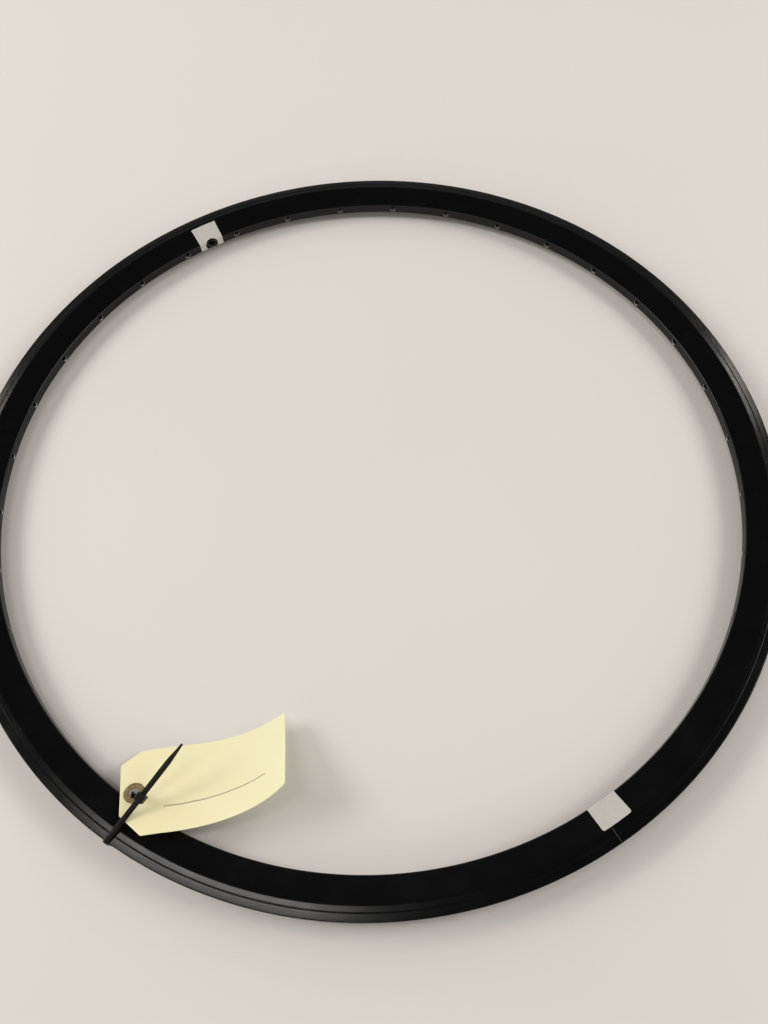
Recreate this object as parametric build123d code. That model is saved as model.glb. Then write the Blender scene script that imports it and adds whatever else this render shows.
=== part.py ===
from build123d import *
import math
import os

# Millimetres. Origin on the wheel axis at the surface that the part lies on, +Z up, valve hole towards +Y.

# Rim section
bead_seat_diameter = 622.0
flange_height = 5.5
rim_width = 20.0
rim_depth = 27.0
hook_gap = 15.0
hook_height = 2.0
flange_wall = 1.5
seat_shelf = 2.4
well_depth = 3.5
well_floor = 9.4
tyre_bed_wall = 1.2
track_height = 10.0
spoke_bed_width = 8.0
spoke_bed_wall = 1.8
side_wall = 1.0
wear_groove_width = 1.0
wear_groove_depth = 0.5
wear_groove_inset = 5.5
rim_edge_round = 0.8
hook_round = 0.5
track_edge_round = 6.0
bed_edge_round = 1.0
chamber_round = 0.4

# Holes and seam
spoke_count = 36
spoke_hole = 4.5
access_hole = 8.5
valve_hole = 6.5
valve_azimuth = 90.0
seam_gap = 0.1

# Sleeve inside the chamber at the seam
sleeve_length = 40.0
sleeve_wall = 2.0
sleeve_clearance = 0.1

# Labels on the inner slope
label_thickness = 0.12
label_gap = 0.05
label_edge_margin = 1.3
valve_label_margin = 0.4
valve_label_width = 22.4
valve_label_cutout = 12.0
seam_label_width = 22.4
seam_label_offset = 5.4
seam_label_corner = 1.5
seam_label_fold = 1.5

# Cable tie
strap_width = 3.7
strap_thickness = 1.1
strap_clearance = 0.1
tie_azimuth = -152.1
tie_head_inset = 5.8
tie_head_side = 4.06
tie_head_rise = 6.8
tie_bed_side = -6.0
tie_hole_bend = 2.5
tie_bed_bend = 2.0
tie_track_bend = 8.0
tie_head_width = 6.4
tie_head_length = 5.6
tie_head_height = 5.2
tie_head_above = 1.9
tie_head_round = 0.6
tie_slot_clearance = 0.2
tie_root_start = 1.8
tail_length = 41.7
tail_taper = 14.0
tail_tip_width = 1.2

# Card tag
tag_length = 118.0
tag_width = 59.0
tag_thickness = 0.4
tag_hole = 7.0
tag_hole_from_end = 9.3
tag_hole_off_centre = -0.15
tag_outer_clip_length = 13.4
tag_outer_clip_width = 15.4
tag_inner_clip_length = 14.0
tag_inner_clip_width = 7.8
tag_hole_inset = 5.19
tag_hole_side = -4.43
tag_hole_drop = 3.69
tag_heading = -19.4
tag_pitch = -2.17
tag_roll = -18.98
tag_crease_angle = 74.7
tag_drop_radius = 173.7
tag_drop_length = 37.4
tag_curl_radius = 75.9
patch_diameter = 14.0
patch_thickness = 0.5

# Derived places
outer_radius = bead_seat_diameter / 2 + flange_height
seat_radius = bead_seat_diameter / 2
bed_radius = outer_radius - rim_depth
track_low = outer_radius - track_height
well_radius = seat_radius - well_depth
half_width = rim_width / 2
half_bed = spoke_bed_width / 2
wall_inside = half_width - flange_wall
underside = strap_thickness + strap_clearance
mid_height = underside + half_width
top_height = underside + rim_width
slope = math.atan2(half_width - half_bed, track_low - bed_radius)
seam_azimuth = valve_azimuth + 180.0


def slope_height(radius, inwards=0.0):
    """Height above the mid-plane of the side slope, or of a face that far inside it."""
    return half_bed + (radius - bed_radius) * math.tan(slope) - inwards / math.cos(slope)


def lifted_slope(radius, lift):
    """Section point at a radius on the upper slope, lifted off it along its normal."""
    return (radius - lift * math.sin(slope), slope_height(radius) + lift * math.cos(slope))


def lifted_fold(lift):
    """Section point where faces lifted off the upper slope and off the spoke bed meet."""
    return (bed_radius - lift, half_bed + lift * math.tan(math.pi / 4 - slope / 2))


def mirrored_face(points, rounds):
    """Closed half outline above the mid-plane, with its mirror image below."""
    half = make_face(FilletPolyline(*points, radius=rounds, close=True))
    return half + mirror(half, about=Plane.XZ)


def chamber_face():
    """Hollow of the double wall, between spoke bed, side walls and tyre bed."""
    floor_radius = bed_radius + spoke_bed_wall
    shoulder_radius = bed_radius + (wall_inside - half_bed + side_wall / math.cos(slope)) / math.tan(slope)
    shelf_end = wall_inside - seat_shelf
    well_turn = math.atan2(well_depth, shelf_end - well_floor / 2)
    step = tyre_bed_wall * math.tan(well_turn / 2)
    points = [
        (floor_radius, 0),
        (floor_radius, slope_height(floor_radius, side_wall)),
        (shoulder_radius, wall_inside),
        (seat_radius - tyre_bed_wall, wall_inside),
        (seat_radius - tyre_bed_wall, shelf_end + step),
        (well_radius - tyre_bed_wall, well_floor / 2 + step),
        (well_radius - tyre_bed_wall, 0),
    ]
    return mirrored_face(points, [0] + [chamber_round] * 5 + [0])


def rim_face():
    """Rim section: flanges with hooks, tyre bed with its well, brake tracks, slopes and spoke bed."""
    groove_low = outer_radius - wear_groove_inset - wear_groove_width / 2
    groove_high = groove_low + wear_groove_width
    hook_low = outer_radius - hook_height
    undercut = wall_inside - hook_gap / 2
    points = [
        (bed_radius, 0),
        (bed_radius, half_bed),
        (track_low, half_width),
        (groove_low, half_width),
        (groove_low, half_width - wear_groove_depth),
        (groove_high, half_width - wear_groove_depth),
        (groove_high, half_width),
        (outer_radius, half_width),
        (outer_radius, hook_gap / 2),
        (hook_low, hook_gap / 2),
        (hook_low - undercut, wall_inside),
        (seat_radius, wall_inside),
        (seat_radius, wall_inside - seat_shelf),
        (well_radius, well_floor / 2),
        (well_radius, 0),
    ]
    rounds = [0, bed_edge_round, track_edge_round, 0, 0, 0, 0, rim_edge_round]
    rounds += [hook_round] * 6 + [0]
    return mirrored_face(points, rounds) - chamber_face()


def spun(face, azimuth=0.0, arc=360.0):
    """Section turned about the wheel axis, centred on an azimuth, at the rim's mid-plane."""
    solid = revolve(Plane.XZ * face, axis=Axis.Z, revolution_arc=arc)
    start = azimuth - arc / 2 if arc < 360.0 else 0.0
    return Pos(0, 0, mid_height) * Rot(0, 0, start) * solid


def radial_drill(diameter, azimuth, inner, outer):
    """Round cutter along a radius at the mid-plane."""
    drill = Pos((inner + outer) / 2, 0, mid_height) * Rot(0, 90, 0) * Cylinder(diameter / 2, outer - inner)
    return Rot(0, 0, azimuth) * drill


def rim_hoop():
    """Rolled extrusion with its drilled holes and the butt seam opposite the valve hole."""
    chamber_low = bed_radius + spoke_bed_wall
    chamber_mid = (chamber_low + well_radius - tyre_bed_wall) / 2
    spoke_pitch = 360.0 / spoke_count
    cutters = []
    for index in range(spoke_count):
        azimuth = valve_azimuth + (index + 0.5) * spoke_pitch
        cutters.append(radial_drill(spoke_hole, azimuth, bed_radius - 1, chamber_mid))
        cutters.append(radial_drill(access_hole, azimuth, chamber_mid, outer_radius))
    cutters.append(radial_drill(valve_hole, valve_azimuth, bed_radius - 1, outer_radius))
    seam = Pos(outer_radius - rim_depth / 2, 0, mid_height) * Box(2 * rim_depth, seam_gap, 2 * rim_width)
    cutters.append(Rot(0, 0, seam_azimuth) * seam)
    return spun(rim_face()) - cutters


def joint_sleeve():
    """Short hollow insert that fills the chamber on both sides of the seam."""
    outside = offset(chamber_face(), amount=-sleeve_clearance, kind=Kind.INTERSECTION)
    inside = offset(chamber_face(), amount=-sleeve_clearance - sleeve_wall, kind=Kind.INTERSECTION)
    arc = math.degrees(sleeve_length / (bed_radius + rim_depth / 2))
    return spun(outside - inside, seam_azimuth, arc)


def folded_band(end):
    """Label section from the upper slope over the edge of the spoke bed, as far as a height on the bed."""
    low = label_gap
    high = label_gap + label_thickness
    top = track_low - label_edge_margin
    points = [
        lifted_slope(top, low),
        lifted_fold(low),
        (bed_radius - low, end),
        (bed_radius - high, end),
        lifted_fold(high),
        lifted_slope(top, high),
    ]
    rounds = [0, bed_edge_round + low, 0, 0, bed_edge_round + high, 0]
    return make_face(FilletPolyline(*points, radius=rounds, close=True))


def valve_label():
    """Label folded across the spoke bed, with a cut-out that was round while the label was flat."""
    band = folded_band(-half_bed + valve_label_margin)
    arc = math.degrees(valve_label_width / bed_radius)
    past_fold = bed_edge_round / 2
    bed_end = bed_radius + past_fold
    bed_cut = radial_drill(valve_label_cutout, valve_azimuth, bed_end - rim_depth / 2, bed_end)
    unfolded_radius = bed_radius - half_bed * math.cos(slope)
    unfolded_height = mid_height + half_bed - half_bed * math.sin(slope)
    slope_up = (-math.sin(slope), 0, math.cos(slope))
    frame = Plane((unfolded_radius, 0, unfolded_height), x_dir=(0, 1, 0), z_dir=slope_up)
    slope_cut = frame * Pos(0, 0, rim_depth / 2 - past_fold) * Cylinder(valve_label_cutout / 2, rim_depth)
    return spun(band, valve_azimuth, arc) - [bed_cut, Rot(0, 0, valve_azimuth) * slope_cut]


def seam_label():
    """Label on the slope beside the seam, with two rounded corners, folded just over the spoke bed's edge."""
    middle = (bed_radius + track_low) / 2
    arc = math.degrees(seam_label_width / middle)
    azimuth = seam_azimuth + math.degrees(seam_label_offset / middle)
    label = spun(folded_band(half_bed - seam_label_fold), azimuth, arc)
    corners = label.edges().filter_by(lambda edge: abs(edge.length - label_thickness) < label_thickness / 10)
    outer_corners = corners.filter_by(lambda edge: edge.center().Z > mid_height + half_bed)
    return fillet(outer_corners, seam_label_corner)


def tie_point(radius, side, height):
    """Point beside the tie: distance from the axis, sideways along the rim, and height."""
    return Vector(radius, side, height).rotate(Axis.Z, tie_azimuth)


def strap_frame(edge, share):
    """Place across the strap at a share of one edge of its path, its width lying along the rim."""
    along = edge.tangent_at(share)
    beside = tie_point(0, 1, 0)
    beside = beside - along * along.dot(beside)
    return Plane(edge.position_at(share), x_dir=beside, z_dir=along)


def cable_tie():
    """One-piece tie: head with its slot, strap round the rim and through the tag's hole, tapered tail."""
    stand_off = strap_clearance + strap_thickness / 2
    edge_off = bed_edge_round / 2 + strap_clearance
    outer = outer_radius + stand_off
    bottom = strap_thickness / 2
    top = top_height + stand_off
    head_place = tie_point(bed_radius - tie_head_inset, tie_head_side, top_height + tie_head_rise)
    hole_place = tag_hole_place() + Vector(0, 0, tag_thickness + patch_thickness)
    bed_place = tie_point(bed_radius - edge_off, tie_bed_side, mid_height - half_bed - edge_off)
    track_side = tie_bed_side * track_height / rim_depth
    track_place = tie_point(track_low, track_side, bottom)
    outer_low = tie_point(outer, 0, bottom)
    outer_high = tie_point(outer, 0, top)
    tail_way = (head_place - outer_high).normalized()
    root_way = (hole_place - head_place).normalized()
    tip = head_place + tail_way * tail_length
    root = head_place + root_way * tie_root_start
    bends = [tie_hole_bend, tie_bed_bend, tie_track_bend, 2 * stand_off, 2 * stand_off]
    route = [root, hole_place, bed_place, track_place, outer_low, outer_high, tip]
    path = FilletPolyline(*route, radius=bends)
    sections = []
    for edge in path.edges():
        shares = [0.0, 1.0] if edge.geom_type == GeomType.LINE else [0.25, 0.5, 0.75]
        for share in shares:
            sections.append(strap_frame(edge, share) * Rectangle(strap_width, strap_thickness))
    last = path.edges()[-1]
    sections[-1] = strap_frame(last, 1.0) * Rectangle(tail_tip_width, strap_thickness)
    taper_share = 1.0 - tail_taper / last.length
    sections.insert(-1, strap_frame(last, taper_share) * Rectangle(strap_width, strap_thickness))
    strap = loft(sections, ruled=True)
    head_share = 1.0 - tail_length / last.length
    head_frame = strap_frame(last, head_share)
    block = Box(tie_head_width, tie_head_height, tie_head_length)
    head = Pos(0, tie_head_height / 2 - tie_head_above, 0) * fillet(block.edges(), tie_head_round)
    slot_size = (strap_width + 2 * tie_slot_clearance, strap_thickness + 2 * tie_slot_clearance)
    head = head - Box(*slot_size, 2 * tie_head_length)
    return strap + head_frame * head


def tag_hole_place():
    """Middle of the tag's hole on the card's lower face."""
    return tie_point(bed_radius - tag_hole_inset, tag_hole_side, top_height - tag_hole_drop)


def bent(along, across, lift):
    """Card point before it is placed: bent down along one arc, then curled up along a second.

    The creases run across the card at tag_crease_angle to its length, and both arcs are tangent."""
    turn = math.radians(tag_crease_angle)
    crease = Vector(math.cos(turn), math.sin(turn), 0)
    way = Vector(math.sin(turn), -math.cos(turn), 0)
    flat = Vector(along, across, 0)
    distance = flat.dot(way)
    drop = min(distance, tag_drop_length)
    rest = max(distance - tag_drop_length, 0.0)
    angle = -drop / tag_drop_radius
    run = -tag_drop_radius * math.sin(angle)
    rise = -tag_drop_radius * (1 - math.cos(angle))
    end = angle + rest / tag_curl_radius
    run += tag_curl_radius * (math.sin(end) - math.sin(angle))
    rise += tag_curl_radius * (math.cos(angle) - math.cos(end))
    run -= lift * math.sin(end)
    rise += lift * math.cos(end)
    return crease * flat.dot(crease) + way * run + Vector(0, 0, rise)


def tag_point(along, across, lift=0.0):
    """Point of the placed card: along it, across from its middle line, and lifted above its underside."""
    hole = bent(tag_hole_from_end, tag_hole_off_centre, 0.0)
    point = bent(along, across, lift) - hole
    point = point.rotate(Axis.X, tag_roll)
    point = point.rotate(Axis.Y, -tag_pitch)
    point = point.rotate(Axis.Z, tag_heading)
    return tag_hole_place() + point


def tag_frame(along, across, ahead, aside):
    """Place on the card with x towards a flat direction (ahead, aside) and z along the card's normal."""
    here = tag_point(along, across)
    return Plane(here, x_dir=tag_point(along + ahead, across + aside) - here,
                 z_dir=tag_point(along, across, 1.0) - here)


def bent_slab(thickness):
    """Whole bent rectangle of the card, thickened upwards from its underside."""
    columns = 17
    rows = 5
    fit = 0.001
    grid = []
    for row in range(rows):
        across = tag_width * (row / (rows - 1) - 0.5)
        line = []
        for column in range(columns):
            line.append(tag_point(tag_length * column / (columns - 1), across))
        grid.append(line)
    face = Face.make_surface_from_array_of_points(grid, tol=fit, min_deg=3, max_deg=8)
    up = tag_point(tag_hole_from_end, 0, 1.0) - tag_point(tag_hole_from_end, 0)
    return Solid.thicken(face, thickness, normal_override=up)


def hole_frame():
    """Place at the tag's hole, z along its axis."""
    return tag_frame(tag_hole_from_end, tag_hole_off_centre, 1, 0)


def clip_cutter(length, width, sign):
    """Block that takes one corner off the hole end of the card."""
    size = 2 * math.hypot(length, width)
    frame = tag_frame(length / 2, sign * (tag_width - width) / 2, length, sign * width)
    return frame * Pos(0, sign * size / 2, 0) * Box(size, size, size)


def tag_card():
    """Card tag with its two clipped corners and the punched hole."""
    punch = hole_frame() * Cylinder(tag_hole / 2, patch_diameter)
    outer_clip = clip_cutter(tag_outer_clip_length, tag_outer_clip_width, -1)
    inner_clip = clip_cutter(tag_inner_clip_length, tag_inner_clip_width, 1)
    return bent_slab(tag_thickness) - [punch, outer_clip, inner_clip]


def tag_patch():
    """Round fibre patch on the card's upper face, with the same punched hole."""
    disc = Cylinder(patch_diameter / 2, patch_diameter) - Cylinder(tag_hole / 2, 2 * patch_diameter)
    return (bent_slab(tag_thickness + patch_thickness) & (hole_frame() * disc)) - bent_slab(tag_thickness)


pieces = {
    "rim_hoop": rim_hoop,
    "joint_sleeve": joint_sleeve,
    "valve_label": valve_label,
    "seam_label": seam_label,
    "cable_tie": cable_tie,
    "tag_card": tag_card,
    "tag_patch": tag_patch,
}

os.makedirs("parts", exist_ok=True)
for name, make in pieces.items():
    export_step(make(), f"parts/{name}.step")
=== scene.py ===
"""Dresses the bicycle rim: satin black hoop, blank labels, card tag and cable tie, on a pale floor."""

import math
from typing import NamedTuple

import bmesh
import bpy
import numpy as np
from mathutils import Matrix, Vector


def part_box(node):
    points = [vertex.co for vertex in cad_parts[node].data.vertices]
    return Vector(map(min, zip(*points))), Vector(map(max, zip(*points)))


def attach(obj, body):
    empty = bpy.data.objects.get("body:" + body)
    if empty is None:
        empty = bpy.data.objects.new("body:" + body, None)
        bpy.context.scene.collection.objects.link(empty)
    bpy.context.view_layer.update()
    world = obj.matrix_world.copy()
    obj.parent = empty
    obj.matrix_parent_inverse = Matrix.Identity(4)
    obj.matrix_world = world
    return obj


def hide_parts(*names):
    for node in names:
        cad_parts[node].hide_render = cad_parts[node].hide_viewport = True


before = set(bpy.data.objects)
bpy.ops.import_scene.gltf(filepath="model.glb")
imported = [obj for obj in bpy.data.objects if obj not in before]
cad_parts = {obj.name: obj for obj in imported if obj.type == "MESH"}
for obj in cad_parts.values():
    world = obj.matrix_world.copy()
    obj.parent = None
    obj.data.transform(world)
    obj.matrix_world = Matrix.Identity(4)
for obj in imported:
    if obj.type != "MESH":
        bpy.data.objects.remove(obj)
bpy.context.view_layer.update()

bl_info = {
    "name": "Bicycle rim",
    "version": (1, 0, 0),
    "blender": (4, 5, 0),
    "location": "View3D > Sidebar > Rim",
    "description": "Builds a bicycle rim with its labels, tag and cable tie round its frame",
    "category": "Object",
}

BODY = "root"
MM = 0.001
RIM_LOW, RIM_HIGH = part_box("rim_hoop")
MID_HEIGHT = (RIM_LOW.z + RIM_HIGH.z) / 2
MERGE_DISTANCE = 1e-6
SLIVER = 1e-7
SHARP_ANGLE = math.radians(32)
STRAIGHT_ANGLE = 1e-6


def length(name, description, default):
    """Property of a size in metres."""
    return bpy.props.FloatProperty(
        name=name, description=description, default=default, unit="LENGTH", precision=5)


def angle(name, description, degrees):
    """Property of an angle, given in degrees."""
    return bpy.props.FloatProperty(
        name=name, description=description, default=math.radians(degrees), unit="ROTATION")


def amount(name, description, default):
    """Property of a plain number."""
    return bpy.props.FloatProperty(name=name, description=description, default=default)


def colour(name, description, default):
    """Property of a linear colour."""
    return bpy.props.FloatVectorProperty(
        name=name, description=description, default=default, size=3, subtype="COLOR", min=0.0, max=1.0)


class RimSizes(bpy.types.PropertyGroup):
    outer_radius: length("Outer radius", "Wheel axis to the edge of the flanges", RIM_HIGH.x)
    width: length("Width", "Across both brake tracks", RIM_HIGH.z - RIM_LOW.z)
    depth: length("Depth", "Edge of the flanges to the spoke bed", 27.0 * MM)
    flange_height: length("Flange height", "Tyre seat to the edge of the flange", 5.5 * MM)
    hook_gap: length("Hook gap", "Clear width between the hooks", 15.0 * MM)
    hook_height: length("Hook height", "Edge of the flange to the underside of the hook", 2.0 * MM)
    flange_wall: length("Flange wall", "Thickness of the flange", 1.5 * MM)
    seat_shelf: length("Seat shelf", "Width of each shelf under the tyre bead", 2.4 * MM)
    well_depth: length("Well depth", "Shelf to the floor of the well", 3.5 * MM)
    well_floor: length("Well floor", "Width of the floor of the well", 9.4 * MM)
    tyre_bed_wall: length("Tyre bed wall", "Thickness of the tyre bed", 1.2 * MM)
    track_height: length("Track height", "Height of the brake track", 10.0 * MM)
    spoke_bed_width: length("Spoke bed width", "Width of the spoke bed", 8.0 * MM)
    spoke_bed_wall: length("Spoke bed wall", "Thickness of the spoke bed", 1.8 * MM)
    side_wall: length("Side wall", "Thickness of the sloping side", 1.0 * MM)
    groove_width: length("Groove width", "Width of the wear groove", 1.0 * MM)
    groove_depth: length("Groove depth", "Depth of the wear groove", 0.5 * MM)
    groove_inset: length("Groove inset", "Edge of the flange to the middle of the groove", 5.5 * MM)
    groove_lip: length("Groove lip", "Round on the edges of the groove", 0.06 * MM)
    groove_round: length("Groove round", "Round at the bottom of the groove", 0.42 * MM)
    edge_round: length("Edge round", "Round on the outer edge", 0.8 * MM)
    hook_round: length("Hook round", "Round on the hook, the seat and the well", 0.5 * MM)
    track_round: length("Track round", "Round where the track meets the slope", 6.0 * MM)
    bed_round: length("Bed round", "Round on the edge of the spoke bed", 1.0 * MM)
    chamber_round: length("Chamber round", "Round in the corners of the hollow", 0.4 * MM)
    spoke_hole: length("Spoke hole", "Diameter of the holes in the spoke bed", 4.5 * MM)
    access_hole: length("Access hole", "Diameter of the holes in the tyre bed", 8.5 * MM)
    valve_hole: length("Valve hole", "Diameter of the valve hole", 6.5 * MM)
    hole_chamfer: length("Hole chamfer", "Broken edge of each drilled hole", 0.35 * MM)
    seam_gap: length("Seam gap", "Gap of the butt seam", 0.1 * MM)
    seam_edge: length("Seam edge", "Bare metal on each side of the seam", 0.08 * MM)
    valve_azimuth: angle("Valve azimuth", "Direction of the valve hole", 90.0)


class LabelSizes(bpy.types.PropertyGroup):
    thickness: length("Thickness", "Thickness of the film", 0.12 * MM)
    gap: length("Gap", "Glue between the film and the rim", 0.05 * MM)
    edge_margin: length("Edge margin", "Bare slope beyond a label", 1.3 * MM)
    bed_margin: length("Bed margin", "Bare spoke bed below the valve label", 0.4 * MM)
    valve_width: length("Valve label width", "Along the rim", 22.4 * MM)
    cutout: length("Cut-out", "Diameter of the cut-out round the valve hole", 12.0 * MM)
    seam_width: length("Seam label width", "Along the rim", 22.4 * MM)
    seam_offset: length("Seam label offset", "Seam to the middle of the label", 5.4 * MM)
    valve_corner: length("Valve label corner", "Round of its corners", 0.4 * MM)
    seam_corner: length("Seam label corner", "Round of its outer corners", 1.5 * MM)
    seam_fold: length("Seam label fold", "Folded over the edge of the spoke bed", 1.5 * MM)


class TagSizes(bpy.types.PropertyGroup):
    card_length: length("Length", "Length of the flat card", 118.0 * MM)
    card_width: length("Width", "Width of the flat card", 59.0 * MM)
    thickness: length("Thickness", "Thickness of the card", 0.4 * MM)
    hole: length("Hole", "Diameter of the punched hole", 7.0 * MM)
    hole_from_end: length("Hole from end", "End of the card to the hole", 9.3 * MM)
    hole_off_centre: length("Hole off centre", "Middle line of the card to the hole", -0.15 * MM)
    outer_clip_length: length("Outer clip length", "Clipped corner on the rim's side, along", 13.4 * MM)
    outer_clip_width: length("Outer clip width", "Clipped corner on the rim's side, across", 15.4 * MM)
    inner_clip_length: length("Inner clip length", "Other clipped corner, along", 14.0 * MM)
    inner_clip_width: length("Inner clip width", "Other clipped corner, across", 7.8 * MM)
    corner: length("Corner", "Round of the card's corners", 0.6 * MM)
    hole_inset: length("Hole inset", "Spoke bed to the hole, towards the axis", 5.19 * MM)
    hole_side: length("Hole side", "Tie to the hole, along the rim", -4.43 * MM)
    hole_drop: length("Hole drop", "Rim's upper face down to the hole", 3.69 * MM)
    heading: angle("Heading", "Direction of the card's length", -19.4)
    pitch: angle("Pitch", "Rise of the card along its length", -2.17)
    roll: angle("Roll", "Tilt of the card about its length", -18.98)
    crease_angle: angle("Crease angle", "Bend lines against the card's length", 74.7)
    drop_radius: length("Drop radius", "Radius of the bend down from the hole", 173.7 * MM)
    drop_length: length("Drop length", "Length of the bend down", 37.4 * MM)
    curl_radius: length("Curl radius", "Radius of the curl up at the free end", 75.9 * MM)
    patch_diameter: length("Patch diameter", "Fibre patch round the hole", 14.0 * MM)
    patch_thickness: length("Patch thickness", "Thickness of the fibre patch", 0.5 * MM)
    patch_round: length("Patch round", "Round on the edges of the fibre patch", 0.16 * MM)


class TieSizes(bpy.types.PropertyGroup):
    azimuth: angle("Azimuth", "Place of the tie on the rim", -152.1)
    strap_width: length("Strap width", "Width of the strap", 3.7 * MM)
    strap_thickness: length("Strap thickness", "Thickness of the strap", 1.1 * MM)
    strap_round: length("Strap round", "Round on the edges of the strap", 0.18 * MM)
    clearance: length("Clearance", "Strap to the rim", 0.1 * MM)
    head_inset: length("Head inset", "Spoke bed to the head, towards the axis", 5.8 * MM)
    head_side: length("Head side", "Sideways place of the head along the rim", 4.06 * MM)
    head_rise: length("Head rise", "Rim's upper face up to the head", 6.8 * MM)
    bed_side: length("Bed side", "Sideways place of the strap at the spoke bed", -6.0 * MM)
    hole_bend: length("Hole bend", "Bend of the strap in the tag's hole", 2.5 * MM)
    bed_bend: length("Bed bend", "Bend of the strap at the spoke bed", 2.0 * MM)
    track_bend: length("Track bend", "Bend of the strap under the track", 8.0 * MM)
    head_width: length("Head width", "Across the head", 6.4 * MM)
    head_length: length("Head length", "Along the strap", 5.6 * MM)
    head_height: length("Head height", "Through the head", 5.2 * MM)
    head_above: length("Head above", "Head above the middle of its slot", 1.9 * MM)
    head_round: length("Head round", "Round on the edges of the head", 0.6 * MM)
    slot_clearance: length("Slot clearance", "Strap to the walls of the slot", 0.2 * MM)
    slot_round: length("Slot round", "Round in the corners of the slot", 0.1 * MM)
    root_start: length("Root start", "Slot to the start of the strap in the head", 1.8 * MM)
    tail_length: length("Tail length", "Head to the tip", 41.7 * MM)
    tail_taper: length("Tail taper", "Length of the tapered tip", 14.0 * MM)
    tip_width: length("Tip width", "Width at the tip", 1.2 * MM)
    tooth_pitch: length("Tooth pitch", "Distance between the strap's teeth", 1.2 * MM)
    tooth_depth: length("Tooth depth", "Depth of the strap's teeth", 0.22 * MM)
    teeth_start: length("Teeth start", "Root of the strap to its first tooth", 30.0 * MM)


class Finishes(bpy.types.PropertyGroup):
    anodised: colour("Anodised", "Black anodised rim", (0.0025, 0.0025, 0.0027))
    bare_metal: colour("Bare metal", "Cut ends at the seam, and the sleeve", (0.36, 0.36, 0.355))
    drilled_metal: colour("Drilled metal", "Dull walls of the drilled holes", (0.28, 0.28, 0.27))
    label_film: colour("Label film", "White label", (0.505, 0.497, 0.46))
    card: colour("Card", "Pale yellow card", (0.83, 0.775, 0.465))
    # Paler colour: painted light along the card towards its free end, and also the card's own random tone
    card_painted_light_and_tone: colour("Card light", "Paler parts of the card", (0.83, 0.81, 0.55))
    card_fibres: colour("Card fibres", "Pale fibres in the card", (0.93, 0.90, 0.72))
    fibre: colour("Fibre", "Brown fibre patch", (0.172, 0.124, 0.046))
    fibre_specks: colour("Fibre specks", "Tan specks in the fibre patch", (0.33, 0.25, 0.14))
    ink: colour("Ink", "Ruled pen line on the card", (0.05, 0.05, 0.06))
    nylon: colour("Nylon", "Black cable tie", (0.0045, 0.0037, 0.0022))
    floor: colour("Floor", "Pale floor", (0.72, 0.69, 0.66))
    wall: colour("Wall", "Light of the room's walls", (1.0, 0.97, 0.94))


class StageSettings(bpy.types.PropertyGroup):
    camera_place: bpy.props.FloatVectorProperty(
        name="Camera place", description="Where the camera stands", default=(-0.1358, -0.2784, 0.5659),
        size=3, subtype="TRANSLATION", unit="LENGTH")
    camera_yaw: angle("Camera yaw", "Turn of the camera about the vertical", -27.997)
    camera_pitch: angle("Camera pitch", "Tilt of the camera up from straight down", 26.424)
    camera_roll: angle("Camera roll", "Turn of the camera about its own line of sight", -3.18)
    lens: amount("Lens", "Focal length in millimetres on a 36 mm sensor", 28.125)
    wall_light: amount("Wall light", "Brightness of the room's walls", 1.0)
    ceiling_light: amount("Ceiling light", "Brightness of the room's ceiling", 0.04)
    wall_height: angle("Wall height", "Height of the sky up to which the walls reach", 30.0)
    ceiling_height: angle("Ceiling height", "Height of the sky where the dim ceiling begins", 50.0)
    floor_size: length("Floor size", "Side of the square floor", 12.0)
    fade_start: length("Fade start", "Distance from the rim's axis where the floor begins to fade", 1.2)
    fade_end: length("Fade end", "Distance from the rim's axis where only the walls' light is left", 3.0)


SETTINGS = {
    "rim_sizes": RimSizes,
    "label_sizes": LabelSizes,
    "tag_sizes": TagSizes,
    "tie_sizes": TieSizes,
    "finishes": Finishes,
    "stage_settings": StageSettings,
}


# How finely the meshes are divided

HOOP_STEPS = 432
STRIP_ROWS = 8
HOLE_STEPS = 2
HOLE_RINGS = 3
HOLE_POINTS = 2 * (2 * HOLE_STEPS + STRIP_ROWS)
HIDDEN_ARC = 2
SMALL_ARC = 3
EDGE_ARC = 4
LABEL_ARC = 6
FOLD_ARC = 16
BEND_ARC = 24
VALVE_LABEL_POINTS = 129
VALVE_LABEL_RINGS = 24
SEAM_LABEL_ROWS = 24
SEAM_LABEL_CORNER_ROWS = 9
SEAM_LABEL_COLUMNS = 49
TAG_POINTS = 361
TAG_RINGS = 72
PATCH_POINTS = 97
HEAD_POINTS = 65
TOOTH_STEPS = 6


# Shapes

def rounded_route(points, radii, arc_steps=EDGE_ARC):
    """Route with rounded corners, in two or three dimensions.

    A corner that turns by t with radius r leaves its first run r tan(t/2) before the corner. Its arc is the
    circle about the centre that lies r / cos(t/2) from the corner along the bisector, from 0 to t."""
    points = np.asarray(points, float)
    runs = np.diff(points, axis=0)
    ways = runs / np.linalg.norm(runs, axis=1, keepdims=True)
    pieces = [points[:1]]
    for corner, way_in, way_out, radius in zip(points[1:-1], ways[:-1], ways[1:], radii):
        turn = math.acos(np.clip(way_in @ way_out, -1.0, 1.0))
        if radius <= 0.0 or turn < STRAIGHT_ANGLE:
            pieces.append(corner[None])
            continue
        inward = (way_out - way_in) / np.linalg.norm(way_out - way_in)
        centre = corner + inward * radius / math.cos(turn / 2)
        arm = (corner - way_in * radius * math.tan(turn / 2) - centre) / radius
        sweep = np.linspace(0.0, turn, arc_steps + 1)[:, None]
        pieces.append(centre + radius * (np.cos(sweep) * arm + np.sin(sweep) * way_in))
    pieces.append(points[-1:])
    return np.concatenate(pieces)


def stations(route):
    """Distance along a route to each of its points."""
    return np.concatenate([[0.0], np.cumsum(np.linalg.norm(np.diff(route, axis=0), axis=1))])


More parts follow.
